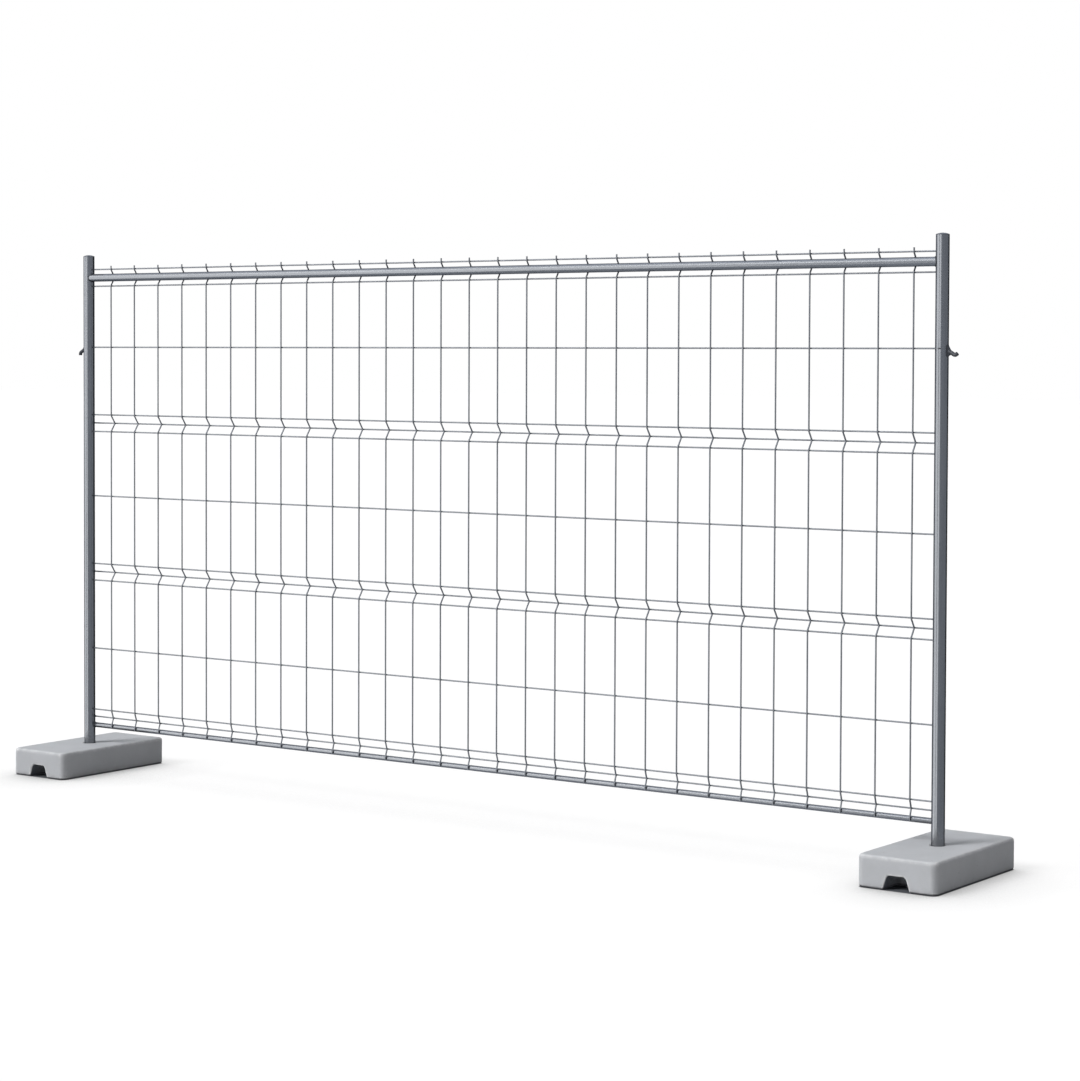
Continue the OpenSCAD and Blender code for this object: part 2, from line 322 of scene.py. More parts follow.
points, faces = [], []
for azimuth in range(-180, 180, FLAG_STEP):
    for rise in range(-90, 90, FLAG_STEP):
        open_across = WINDOW_AZIMUTHS[0] <= azimuth < WINDOW_AZIMUTHS[1]
        barred = WINDOW_BAR[0] <= azimuth < WINDOW_BAR[1]
        open_up = WINDOW_HEIGHTS[0] <= rise < WINDOW_HEIGHTS[1]
        if open_across and open_up and not barred:
            continue
        first = len(points)
        for a, b in ((0, 0), (1, 0), (1, 1), (0, 1)):
            turn = math.radians(azimuth + a * FLAG_STEP)
            climb = math.radians(rise + b * FLAG_STEP)
            points.append(direction(turn, climb) * FLAG_RADIUS)
        faces.append((first, first + 1, first + 2, first + 3))
shell = bpy.data.meshes.new("grey_flag")
shell.from_pydata([tuple(p) for p in points], [], faces)
shell.materials.append(flag_material)
flag = bpy.data.objects.new("grey_flag", shell)
scene.collection.objects.link(flag)
for sight in ("camera", "diffuse", "transmission", "volume_scatter", "shadow"):
    setattr(flag, "visible_" + sight, False)
print("flag with", len(faces), "faces, window", WINDOW_AZIMUTHS)

# %% [markdown]
# Zinc on steel is never one grey. Where it froze in crystals each flake has its own tone, weather
# clouds it in patches, and a fine grain breaks up its shine. A picture of zinc would repeat and blur
# on long tubes, so cells and noise in space make it. Tubes, wires and welds all show it at different
# sizes, so it is one shader group with named inputs that each finish fills in its own way.

# %% Shader group: zinc skin
FLOAT = "NodeSocketFloat"
VECTOR = "NodeSocketVector"
COLOUR = "NodeSocketColor"
CLOUDY = (0.3, 0.7)
GRAIN_IN_TONE = 0.25
GRAIN_IN_SHEEN = 0.5


def group(name, kind, inputs, outputs):
    made = bpy.data.node_groups.new(name, kind)
    for label, socket_type, value in inputs:
        socket = made.interface.new_socket(label, in_out="INPUT", socket_type=socket_type)
        if value is not None:
            socket.default_value = value
    for label, socket_type in outputs:
        made.interface.new_socket(label, in_out="OUTPUT", socket_type=socket_type)
    return made, made.nodes.new("NodeGroupInput").outputs, made.nodes.new("NodeGroupOutput").inputs


zinc_skin, given, result = group(
    "zinc_skin", "ShaderNodeTree",
    [("Place", VECTOR, None), ("Flakes per metre", FLOAT, 90.0), ("Flake contrast", FLOAT, 0.4),
     ("Dark tone", COLOUR, (0.15, 0.16, 0.18, 1)), ("Light tone", COLOUR, (0.28, 0.29, 0.31, 1)),
     ("Smoothest", FLOAT, 0.3), ("Roughest", FLOAT, 0.5)],
    [("Colour", COLOUR), ("Roughness", FLOAT), ("Height", FLOAT)],
)
tree = zinc_skin
flakes = put(tree, "ShaderNodeTexVoronoi", {"Vector": given["Place"], "Scale": given["Flakes per metre"]})
flake = put(tree, "ShaderNodeSeparateColor", {0: flakes.outputs["Color"]}).outputs[0]
cloud = noise(tree, given["Place"], scale=6.0, detail=4.0)
grain = noise(tree, given["Place"], scale=420.0, detail=3.0)
tone = mix_value(tree, given["Flake contrast"], ramp(tree, cloud, *CLOUDY), flake)
tone = mix_value(tree, GRAIN_IN_TONE, tone, grain)
tree.links.new(mix_colour(tree, tone, given["Dark tone"], given["Light tone"]), result["Colour"])
sheen = mix_value(tree, GRAIN_IN_SHEEN, flake, grain)
tree.links.new(mix_value(tree, sheen, given["Smoothest"], given["Roughest"]), result["Roughness"])
tree.links.new(grain, result["Height"])
print("group", zinc_skin.name)

# %% [markdown]
# Everything near the ground carries some dust that rain has splashed up. The group gives a mask that
# is strong at the floor and breaks up with height, for steel and concrete alike.

# %% Shader group: ground dust
DUST_TEAR = -0.9
DUST_EDGE = (0.35, -0.45)

ground_dust, given, result = group(
    "ground_dust", "ShaderNodeTree", [("Place", VECTOR, None), ("Reach", FLOAT, 0.25)], [("Mask", FLOAT)])
tree = ground_dust
rise = math_node(tree, "DIVIDE", parts_of(tree, given["Place"])["Z"], given["Reach"])
patches = noise(tree, given["Place"], scale=38.0, detail=5.0)
torn = math_node(tree, "MULTIPLY_ADD", patches, DUST_TEAR, rise)
tree.links.new(ramp(tree, torn, *DUST_EDGE), result["Mask"])
print("group", ground_dust.name)

# %% [markdown]
# The steel finishes place the zinc group with their own sizes: large flakes on the tubes, drawn out
# along each tube, small ones on the wires, and a dull, burnt skin on the welds, which the hooks also
# wear as painted shade.

# %% Steel materials
DUST_COLOUR = (0.30, 0.30, 0.30, 1)
DUST_SHARE = 0.35
EDGE_TINT = (0.3, 0.31, 0.34, 1)
GRAIN_DEPTH = 0.4 * MM
TUBE_FINISH = {
    "flakes": 110, "contrast": 0.45, "roughness": (0.16, 0.25), "metal": 0.9, "bump": 0.06,
    "tones": ((0.172, 0.180, 0.193), (0.235, 0.245, 0.262)),
}


def zinc_material(name, flakes, contrast, tones, roughness, metal, bump, stretch=(1, 1, 1)):
    made, tree = material(name)
    place = put(tree, "ShaderNodeTexCoord").outputs["Object"]
    skin = put(tree, "ShaderNodeGroup", {
        "Place": vector_node(tree, "MULTIPLY", place, stretch),
        "Flakes per metre": flakes, "Flake contrast": contrast,
        "Dark tone": (*tones[0], 1), "Light tone": (*tones[1], 1),
        "Smoothest": roughness[0], "Roughest": roughness[1],
    }, node_tree=zinc_skin).outputs
    dust = put(tree, "ShaderNodeGroup", {"Place": place}, node_tree=ground_dust)
    relief = put(tree, "ShaderNodeBump", {
        "Strength": bump, "Distance": GRAIN_DEPTH, "Height": skin["Height"],
    })
    surface = put(tree, "ShaderNodeBsdfPrincipled", {
        "Base Color": paint_over(tree, skin["Colour"], dust.outputs["Mask"], DUST_SHARE, DUST_COLOUR),
        "Metallic": metal, "Roughness": skin["Roughness"], "Normal": relief.outputs[0],
        "Specular Tint": EDGE_TINT,
    })
    put(tree, "ShaderNodeOutputMaterial", {"Surface": surface.outputs[0]})
    return made


post_zinc = zinc_material("galvanised_post", **TUBE_FINISH, stretch=(1, 1, 0.05))
rail_zinc = zinc_material("galvanised_rail", **TUBE_FINISH, stretch=(0.04, 1, 1))
wire_zinc = zinc_material(
    "galvanised_wire", flakes=260, contrast=0.35, roughness=(0.26, 0.40), metal=0.9, bump=0.15,
    tones=((0.150, 0.157, 0.169), (0.215, 0.225, 0.241)))
# dark weld finish, also used on the hooks as painted shade
weld_and_hook_shade_zinc = zinc_material(
    "weld_metal_and_hook_shade", flakes=500, contrast=0.5, roughness=(0.38, 0.60), metal=0.8, bump=0.5,
    tones=((0.035, 0.037, 0.041), (0.085, 0.088, 0.096)))
print("steel finishes:", post_zinc.name, rail_zinc.name, wire_zinc.name, weld_and_hook_shade_zinc.name)

# %% [markdown]
# Cast concrete is mottled in wide clouds, speckled with sand and marked by small air holes, which are
# painted dark as shade in the pits. Its edges are paler, partly worn and partly a painted highlight. The
# pale edges come from an attribute that the geometry stores, so they stay on the edges whatever the
# light.

# %% Colours of the concrete
CONCRETE_TONES = ((0.392, 0.402, 0.420, 1), (0.452, 0.463, 0.484, 1))
SAND_SHARE = 0.42
# paler edges: partly real wear, partly a painted highlight
WORN_AND_HIGHLIT = (0.74, 0.74, 0.745, 1)
WORN_HIGHLIGHT_PATCHES = (0.4, 0.65)
WORN_HIGHLIGHT_SHARES = (0.35, 0.9)
# the air holes are painted dark as shade in the pits
AIR_HOLE_SHADE = (0.17, 0.172, 0.178, 1)
AIR_HOLE_EDGE = (0.2, 0.1)
AIR_HOLE_CHANCE = (0.93, 0.95)
AIR_HOLE_SHADE_SHARE = 0.7
SPLASH = (0.26, 0.262, 0.265, 1)
SPLASH_HEIGHT = 30 * MM
SPLASH_SHARE = 0.4

concrete, tree = material("cast_concrete")
place = put(tree, "ShaderNodeTexCoord").outputs["Object"]
cloud = noise(tree, place, scale=9.0, detail=6.0, roughness=0.6)
sand = noise(tree, place, scale=520.0, detail=2.0)
tone = mix_value(tree, SAND_SHARE, ramp(tree, cloud, *CLOUDY), ramp(tree, sand, *CLOUDY))
colour = mix_colour(tree, tone, *CONCRETE_TONES)
# edges made paler, partly as wear and partly as a painted highlight
worn_and_highlit = put(tree, "ShaderNodeAttribute", attribute_name="worn_and_highlit_edge").outputs["Fac"]
rubbed_and_highlit = ramp(tree, noise(tree, place, scale=45.0, detail=3.0), *WORN_HIGHLIGHT_PATCHES, *WORN_HIGHLIGHT_SHARES)
colour = mix_colour(tree, math_node(tree, "MULTIPLY", worn_and_highlit, rubbed_and_highlit), colour, WORN_AND_HIGHLIT)
holes = put(tree, "ShaderNodeTexVoronoi", {"Vector": place, "Scale": 95.0}).outputs
chosen = ramp(tree, put(tree, "ShaderNodeSeparateColor", {0: holes["Color"]}).outputs[1], *AIR_HOLE_CHANCE)
hole = math_node(tree, "MULTIPLY", ramp(tree, holes["Distance"], *AIR_HOLE_EDGE), chosen)
# paint shade into the air holes
colour = paint_over(tree, colour, hole, AIR_HOLE_SHADE_SHARE, AIR_HOLE_SHADE)
dust = put(tree, "ShaderNodeGroup", {"Place": place, "Reach": SPLASH_HEIGHT}, node_tree=ground_dust)
colour = paint_over(tree, colour, dust.outputs["Mask"], SPLASH_SHARE, SPLASH)
print("concrete:", len(tree.nodes), "nodes for its colours")

# %% [markdown]
# The hand-holds under the ends of a foot have a painted highlight on their rim and painted shade
# inside, and the lowest edge of the block has a painted dark line of shade. The places could be
# painted by hand, but here they are worked out from the sizes of the hold: how far a point lies past
# its leaning walls and its roof, and how deep.

# %% Painted rim highlight, and painted shade in the holds and along the lowest edge
HOLD_HALF_FOOT = 44 * MM
HOLD_HALF_ROOF = 29 * MM
HOLD_HEIGHT = 43 * MM
HOLD_CORNER = 9 * MM
HOLD_DEPTH = 90 * MM
HOLD_EDGE = (5 * MM, 3.5 * MM)
HOLD_BACK = (8 * MM, 4 * MM)
# painted highlight round the opening of each hand-hold
RIM_HIGHLIGHT = (0.72, 0.72, 0.725, 1)
RIM_HIGHLIGHT_DEPTH = (6 * MM, 3 * MM)
RIM_HIGHLIGHT_SHARE = 0.8
# painted shade inside the hand-holds
HOLD_SHADE = (0.110, 0.118, 0.134, 1)
HOLD_SHADE_STARTS = (3 * MM, 9 * MM)
HOLD_SHADE_FADES = (75 * MM, 15 * MM)
HOLD_SHADE_SHARE = 0.95
# painted shade along the lowest edge, where the block meets the floor
CONTACT_SHADE = (0.070, 0.072, 0.078, 1)
CONTACT_SHADE_HEIGHT = (9 * MM, 4 * MM)
CONTACT_SHADE_SHARE = 0.85

spot = parts_of(tree, place)
lean = math.atan2(HOLD_HALF_FOOT - HOLD_HALF_ROOF, HOLD_HEIGHT)
widened = math_node(tree, "MULTIPLY_ADD", spot["Z"], math.tan(lean), beside_foot(tree, spot["X"]))
past_wall = math_node(tree, "SUBTRACT", widened, HOLD_HALF_FOOT)
past_wall = excess(tree, math_node(tree, "MULTIPLY", past_wall, math.cos(lean)), -HOLD_CORNER)
past_roof = excess(tree, spot["Z"], HOLD_HEIGHT - HOLD_CORNER)
away = distance(tree, past_wall, past_roof)
deep = math_node(tree, "SUBTRACT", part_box("right_foot")[1].y, math_node(tree, "ABSOLUTE", spot["Y"]))
near_hold = ramp(tree, away, *(HOLD_CORNER + step for step in HOLD_EDGE))
not_past = ramp(tree, deep, *(HOLD_DEPTH + step for step in HOLD_BACK))
near_hold = math_node(tree, "MULTIPLY", near_hold, not_past)
rim_highlight = math_node(tree, "MULTIPLY", near_hold, ramp(tree, deep, *RIM_HIGHLIGHT_DEPTH))
# mask of the painted shade inside the holds
inside = math_node(tree, "MULTIPLY", near_hold, ramp(tree, deep, *HOLD_SHADE_STARTS))
inside = math_node(tree, "MULTIPLY", inside, ramp(tree, deep, *HOLD_SHADE_FADES))
# paint the highlight on the rims, the shade in the holds and the dark line of shade at the bottom
colour = paint_over(tree, colour, rim_highlight, RIM_HIGHLIGHT_SHARE, RIM_HIGHLIGHT)
colour = paint_over(tree, colour, inside, HOLD_SHADE_SHARE, HOLD_SHADE)
colour = paint_over(tree, colour, ramp(tree, spot["Z"], *CONTACT_SHADE_HEIGHT), CONTACT_SHADE_SHARE, CONTACT_SHADE)
print("hand-hold leans", round(math.degrees(lean), 1), "degrees")

# %% [markdown]
# The surface itself is dull. Sand and air holes give it a fine relief, and its roughness follows the
# clouds of its colour.

# %% Surface of the concrete
PIT_DEPTH = -1.5
RELIEF_STRENGTH = 0.5
RELIEF_DEPTH = 1.2 * MM
ROUGH_CLOUDS = (0.2, 0.8)
ROUGHNESS = (0.78, 0.92)
GLOSS = 0.3

pitted = math_node(tree, "MULTIPLY_ADD", hole, PIT_DEPTH, sand)
relief = put(tree, "ShaderNodeBump", {
    "Strength": RELIEF_STRENGTH, "Distance": RELIEF_DEPTH, "Height": pitted,
})
surface = put(tree, "ShaderNodeBsdfPrincipled", {
    "Base Color": colour, "Roughness": ramp(tree, cloud, *ROUGH_CLOUDS, *ROUGHNESS),
    "Normal": relief.outputs[0], "Specular IOR Level": GLOSS,
})
put(tree, "ShaderNodeOutputMaterial", {"Surface": surface.outputs[0]})
print("concrete finish:", concrete.name)

# %% [markdown]
# Pieces that repeat or follow a path are made by Geometry Nodes. Each tree has named inputs for its
# sizes and ends by realizing its copies and setting their material. Blender sets a modifier's input by
# the socket's identifier, so a helper looks that up. Another runs the trees once and keeps the result
# as a plain mesh with no modifier left on it.

# %% Helpers for Geometry Nodes
GEOMETRY = "NodeSocketGeometry"
INTEGER = "NodeSocketInt"
MATERIAL = "NodeSocketMaterial"


def nodes_tree(name, inputs):
    sockets = [("Geometry", GEOMETRY)] + inputs + [("Material", MATERIAL)]
    return group(name, "GeometryNodeTree", [(label, kind, None) for label, kind in sockets],
                 [("Geometry", GEOMETRY)])


def end_tree(tree, geometry, given, result):
    solid = put(tree, "GeometryNodeRealizeInstances", {0: geometry})
    finished = put(tree, "GeometryNodeSetMaterial", {0: solid.outputs[0], 2: given["Material"]})
    tree.links.new(finished.outputs[0], result[0])
    print("tree", tree.name, "with", len(tree.nodes), "nodes")


def add_tree(piece, made, values):
    modifier = piece.modifiers.new(made.name, "NODES")
    modifier.node_group = made
    for item in made.interface.items_tree:
        if item.in_out == "INPUT" and item.name in values:
            modifier[item.identifier] = values[item.name]
    piece.update_tag()


def make_plain(piece):
    graph = bpy.context.evaluated_depsgraph_get()
    mesh = bpy.data.meshes.new_from_object(
        piece.evaluated_get(graph), preserve_all_data_layers=True, depsgraph=graph)
    piece.modifiers.clear()
    piece.data = mesh
    mesh.name = piece.name
    return piece


def new_piece(name, points, edges=(), faces=()):
    mesh = bpy.data.meshes.new(name)
    mesh.from_pydata([tuple(p) for p in points], list(edges), list(faces))
    mesh.update()
    piece = bpy.data.objects.new(name, mesh)
    scene.collection.objects.link(piece)
    return piece


def triangles(piece):
    return sum(len(p.vertices) - 2 for p in piece.data.polygons)


def chain(count, first=0):
    return [(first + k, first + k + 1) for k in range(count - 1)]


# %% [markdown]
# The mesh is welded from two sets of wires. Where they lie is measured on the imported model, so the
# finished wires stay exactly on its solids: the middle of each box is a wire's axis.

# %% Measure the wires
LONG_NAMES = [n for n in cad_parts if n.endswith("_wire")]
UPRIGHT_NAMES = sorted(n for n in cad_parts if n.startswith("vertical_wire_"))


def middle(node):
    low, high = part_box(node)
    return (low + high) / 2


long_axes = {n: middle(n) for n in LONG_NAMES}
upright_xs = [middle(n).x for n in UPRIGHT_NAMES]
low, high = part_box(UPRIGHT_NAMES[0])
UPRIGHT_R = (high.x - low.x) / 2
UPRIGHT_Y = low.y + UPRIGHT_R
UPRIGHT_ENDS = (high.z, low.z)
LONG_R = (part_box("top_wire")[1].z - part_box("top_wire")[0].z) / 2
print(len(long_axes), "long wires,", len(upright_xs), "upright wires of",
      round(2 * UPRIGHT_R / MM, 2), "mm")

# %% [markdown]
# An upright wire is one bar with four folds. Each wire could be a curve of its own with a bevel, but
# all are alike, so one is enough. The path is drawn with sharp corners and a node rounds them to the
# bending radius, just as a press does. The swept wire is then repeated along the panel.

# %% Upright wires
WIRE_BEND = 6 * MM
FOLD_LEAN = math.radians(34)
BOTTOM_FOLD_LEAN = math.radians(18)
BEND_STEPS = 6
top_rail_z = middle("top_rail").z


def fold_corners(apex_z, step, lean):
    half = step - WIRE_BEND * math.tan(lean / 2)
    back = UPRIGHT_Y + half * math.tan(lean)
    return [(0, UPRIGHT_Y, apex_z + half), (0, back, apex_z), (0, UPRIGHT_Y, apex_z - half)]


fold_step = long_axes["top_wire"].z - top_rail_z
bottom_step = long_axes["bottom_fold_top_wire"].z - long_axes["bottom_fold_apex_wire"].z
upright_path = [(0, UPRIGHT_Y, UPRIGHT_ENDS[0])]
for apex in (top_rail_z, long_axes["upper_fold_apex_wire"].z, long_axes["lower_fold_apex_wire"].z):
    upright_path += fold_corners(apex, fold_step, FOLD_LEAN)
upright_path += fold_corners(long_axes["bottom_fold_apex_wire"].z, bottom_step, BOTTOM_FOLD_LEAN)
upright_path.append((0, UPRIGHT_Y, UPRIGHT_ENDS[1]))

bent_bars, given, result = nodes_tree("bent_bars", [
    ("Bar radius", FLOAT), ("Bend radius", FLOAT), ("Sides", INTEGER),
    ("Count", INTEGER), ("First", VECTOR), ("Spacing", VECTOR),
])
tree = bent_bars
line = put(tree, "GeometryNodeMeshToCurve", {0: given["Geometry"]})
bends = {0: line.outputs[0], 1: BEND_STEPS, 2: given["Bend radius"]}
rounded = put(tree, "GeometryNodeFilletCurve", bends, mode="POLY")
section = put(tree, "GeometryNodeCurvePrimitiveCircle", {0: given["Sides"], 4: given["Bar radius"]})
bar = put(tree, "GeometryNodeCurveToMesh",
          {"Curve": rounded.outputs[0], "Profile Curve": section.outputs[0], "Fill Caps": True})
stops = put(tree, "GeometryNodeMeshLine", {0: given["Count"], 2: given["First"], 3: given["Spacing"]})
copies = put(tree, "GeometryNodeInstanceOnPoints", {0: stops.outputs[0], 2: bar.outputs[0]})
end_tree(tree, copies.outputs[0], given, result)


def smooth(piece, angle=40):
    piece.data.polygons.foreach_set("use_smooth", [True] * len(piece.data.polygons))
    piece.data.set_sharp_from_angle(angle=math.radians(angle))
    return piece


upright_wires = new_piece("upright_wires", upright_path, chain(len(upright_path)))
add_tree(upright_wires, bent_bars, {
    "Bar radius": UPRIGHT_R, "Bend radius": WIRE_BEND, "Sides": 12, "Count": len(upright_xs),
    "First": (upright_xs[0], 0, 0), "Spacing": (upright_xs[1] - upright_xs[0], 0, 0),
    "Material": wire_zinc,
})
smooth(make_plain(upright_wires))
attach(upright_wires, "panel")
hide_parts(*UPRIGHT_NAMES)
print("upright wires:", triangles(upright_wires), "triangles")

# %% [markdown]
# The long wires are straight, so the same tree sweeps them with no bend to round and one copy each.

# %% Long wires
ONE_COPY = {"Count": 1, "First": (0, 0, 0), "Spacing": (0, 0, 0)}

long_points = []
for name in LONG_NAMES:
    low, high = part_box(name)
    axis = long_axes[name]
    long_points += [(low.x, axis.y, axis.z), (high.x, axis.y, axis.z)]
long_edges = [(k, k + 1) for k in range(0, len(long_points), 2)]
long_wires = new_piece("long_wires", long_points, long_edges)
add_tree(long_wires, bent_bars, {
    "Bar radius": LONG_R, "Bend radius": 0.0, "Sides": 16, "Material": wire_zinc, **ONE_COPY,
})
smooth(make_plain(long_wires))
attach(long_wires, "panel")
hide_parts(*LONG_NAMES)
print("long wires:", triangles(long_wires), "triangles")

# %% [markdown]
# The posts are open tubes that turn round an axis. A cylinder with a Solidify modifier would give the
# wall but not its ends, so the wall is drawn once as a section and spun. The ends get the small bevel
# that a saw and the zinc bath leave, and each top is closed by a domed cap with a plug.

# %% Posts and caps
SIDES = 64
END_BEVEL = 0.5 * MM
POST_WALL = 1.5 * MM
CAP_PLUG = 10 * MM
CAP_RIM = 1.5 * MM
CAP_STEPS = 8
CAP_GAP = 0.1 * MM
PLUG_PLAY = 0.2 * MM
DOME_INSET = 0.3 * MM
MERGE = 1e-6


def spun(name, section, axis_x, closed):
    points, faces = [], []
    for k in range(SIDES):
        turn = 2 * math.pi * k / SIDES
        for radius, z in section:
            points.append((axis_x + radius * math.cos(turn), radius * math.sin(turn), z))
    size = len(section)
    for k in range(SIDES):
        nxt = (k + 1) % SIDES
        for j in range(size if closed else size - 1):
            after = (j + 1) % size
            faces.append((k * size + j, nxt * size + j, nxt * size + after, k * size + after))
    return new_piece(name, points, faces=faces)


def close_up(piece):
    shape = bmesh.new()
    shape.from_mesh(piece.data)
    bmesh.ops.remove_doubles(shape, verts=shape.verts, dist=MERGE)
    bmesh.ops.holes_fill(shape, edges=[e for e in shape.edges if e.is_boundary])
    bmesh.ops.recalc_face_normals(shape, faces=shape.faces)
    shape.to_mesh(piece.data)
    shape.free()
    return piece


def finish_piece(piece, finish, body, nodes):
    piece.data.materials.clear()
    piece.data.materials.append(finish)
    smooth(piece)
    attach(piece, body)
    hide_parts(*nodes)


def cap_section(low, high, radius):
    rim_z = low + CAP_RIM
    rise = high - rim_z
    plug = radius - POST_WALL - PLUG_PLAY
    foot = low - CAP_PLUG
    section = [(0, foot), (plug - END_BEVEL, foot), (plug, foot + END_BEVEL), (plug, low),
               (radius - END_BEVEL, low), (radius, low + END_BEVEL), (radius, rim_z - END_BEVEL)]
    for k in range(CAP_STEPS + 1):
        share = k / CAP_STEPS
        section.append(((radius - DOME_INSET) * (1 - share), rim_z + rise * (1 - (1 - share) ** 2)))
    return section


post_axes = {}
for side in ("left", "right"):
    low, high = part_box(side + "_post")
    radius = (high.x - low.x) / 2
    axis_x = (low.x + high.x) / 2
    post_axes[side] = (axis_x, radius)
    inner = radius - POST_WALL
    wall = [(radius - END_BEVEL, low.z), (radius, low.z + END_BEVEL), (radius, high.z - END_BEVEL),
            (radius - END_BEVEL, high.z), (inner, high.z), (inner, low.z)]
    tube = spun(side + "_post_tube", wall, axis_x, closed=True)
    finish_piece(close_up(tube), post_zinc, "panel", [side + "_post"])
    cap_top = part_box(side + "_post_cap")[1].z
    cap = spun(side + "_cap_dome", cap_section(high.z + CAP_GAP, cap_top, radius), axis_x, closed=False)
    finish_piece(close_up(cap), post_zinc, "panel", [side + "_post_cap"])
    print(side, "post at", round(axis_x, 3), "m, cap top at", round(cap_top, 4), "m")

# %% [markdown]
# The rails meet the round posts, so each end is cut as a saddle. A Boolean could cut it, but would
# leave a rough rim. Instead every point of the end ring is moved along the rail until it lies on the
# post's surface, for the outer and the inner wall alike.

# %% Rails
RAIL_WALL = 1.5 * MM
RAIL_RINGS = 30


def saddle_x(y):
    axis_x, radius = post_axes["right"]
    return axis_x - math.sqrt(max(0.0, radius * radius - y * y))


def rail_tube(name, axis, radius):
    points, faces = [], []
    for wall in (radius, radius - RAIL_WALL):
        for ring in range(RAIL_RINGS + 1):
            share = 2 * ring / RAIL_RINGS - 1
            for k in range(SIDES):
                turn = 2 * math.pi * k / SIDES
                y = axis.y + wall * math.cos(turn)
                points.append((share * saddle_x(y), y, axis.z + wall * math.sin(turn)))
    inner = (RAIL_RINGS + 1) * SIDES
    last = RAIL_RINGS * SIDES
    for k in range(SIDES):
        nxt = (k + 1) % SIDES
        for ring in range(RAIL_RINGS):
            a, b = ring * SIDES, (ring + 1) * SIDES
            faces.append((a + k, a + nxt, b + nxt, b + k))
            faces.append((inner + a + k, inner + b + k, inner + b + nxt, inner + a + nxt))
        faces.append((k, inner + k, inner + nxt, nxt))
        faces.append((last + k, last + nxt, inner + last + nxt, inner + last + k))
    return new_piece(name, points, faces=faces)


rails = {}
for name, node in (("top_rail_tube", "top_rail"), ("bottom_rail_tube", "bottom_rail")):
    low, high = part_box(node)
    rails[node] = (middle(node), (high.z - low.z) / 2)
    tube = rail_tube(name, *rails[node])
    finish_piece(close_up(tube), rail_zinc, "panel", [node])
    print(name, "of", round(2 * rails[node][1] / MM, 1), "mm:", triangles(tube), "triangles")

# %% [markdown]
# A hook is a bar bent once: the left one ends downwards and the right one upwards, so that a row of
# panels hangs together. The same tree that bends the wires bends them. They take the dark finish of
# the welds, which paints in the shade that falls on them.

# %% Hooks
HOOK_R = 6 * MM
HOOK_BEND = 7 * MM
HOOK_SLOPE = math.radians(31)
HOOK_LIP = 9 * MM
HOOKS = {"left": (-1, 24 * MM, math.radians(-90)), "right": (1, 23 * MM, math.radians(38))}
HOOK_Z = 1532.3 * MM


def hook_line(side):
    way, reach, lip = HOOKS[side]
    axis_x, post_r = post_axes[side]
    knee = (post_r + reach, HOOK_Z - reach * math.tan(HOOK_SLOPE) / 2)
    root = (post_r / 2, knee[1] + (knee[0] - post_r / 2) * math.tan(HOOK_SLOPE))
    tip = (knee[0] + HOOK_LIP * math.cos(lip), knee[1] + HOOK_LIP * math.sin(lip))
    return [(axis_x + way * u, 0, z) for u, z in (root, knee, tip)]


for side in ("left", "right"):
    hook = new_piece(side + "_hook_bar", hook_line(side), chain(3))
    add_tree(hook, bent_bars, {
        "Bar radius": HOOK_R, "Bend radius": HOOK_BEND, "Sides": 24, "Material": weld_and_hook_shade_zinc, **ONE_COPY,
    })
    make_plain(hook)
    # the dark weld finish paints the hook's shade
    finish_piece(hook, weld_and_hook_shade_zinc, "panel", [side + "_hook"])
    print(side, "hook:", triangles(hook), "triangles")

# %% [markdown]
# At each crossing two wires are pressed and melted together, which leaves a small collar of metal.
# There are hundreds, so each is a squashed sphere of a few dozen faces, set on a point by a node that
# sizes it a little by chance with a fixed seed.

# %% Welds at the crossings
CHANCE = [("Unevenness", FLOAT), ("Seed", INTEGER)]
BALL_LEVELS = 2


def uneven_drops(tree, given, stops, size, turned=None):
    ball = put(tree, "GeometryNodeMeshIcoSphere", {0: 1.0, 1: BALL_LEVELS})
    least = math_node(tree, "SUBTRACT", 1.0, given["Unevenness"])
    most = math_node(tree, "ADD", 1.0, given["Unevenness"])
    chance = put(tree, "FunctionNodeRandomValue", {2: least, 3: most, 8: given["Seed"]}, data_type="FLOAT")
    inputs = {0: stops, 2: ball.outputs[0], 6: scaled(tree, size, chance.outputs[1])}
    if turned is not None:
        inputs[5] = turned
    return put(tree, "GeometryNodeInstanceOnPoints", inputs).outputs[0]


def finish_weld(piece, angle=180):
    smooth(piece, angle)
    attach(piece, "panel")
    print(piece.name + ":", triangles(piece), "triangles")


weld_spots, given, result = nodes_tree("weld_spots", [("Spot size", VECTOR)] + CHANCE)
drops = uneven_drops(weld_spots, given, given["Geometry"], given["Spot size"])
end_tree(weld_spots, drops, given, result)

spots = []
for x in upright_xs:
    for axis in long_axes.values():
        spots.append((x, axis.y - LONG_R, axis.z))
    axis, radius = rails["top_rail"]
    contact_y = axis.y + radius * math.cos(FOLD_LEAN)
    for way in (-1, 1):
        spots.append((x, contact_y, axis.z + way * radius * math.sin(FOLD_LEAN)))
    axis, radius = rails["bottom_rail"]
    spots.append((x, axis.y - radius, axis.z))
wire_welds = new_piece("wire_welds", spots)
add_tree(wire_welds, weld_spots, {
    "Spot size": (2.7 * MM, 1.5 * MM, 2.7 * MM), "Unevenness": 0.18, "Seed": 7, "Material": weld_and_hook_shade_zinc,
})
finish_weld(make_plain(wire_welds))

# %% [markdown]
# Round the ends of the rails runs a hand-laid weld, which looks like a row of fish scales. The path is
# the true line where the rail meets the post. A node walks along it at the weld's own pitch and lays
# one flattened drop after another, each turned to follow the path.

# %% Weld beads at the rails' ends
BEAD_POINTS = 48

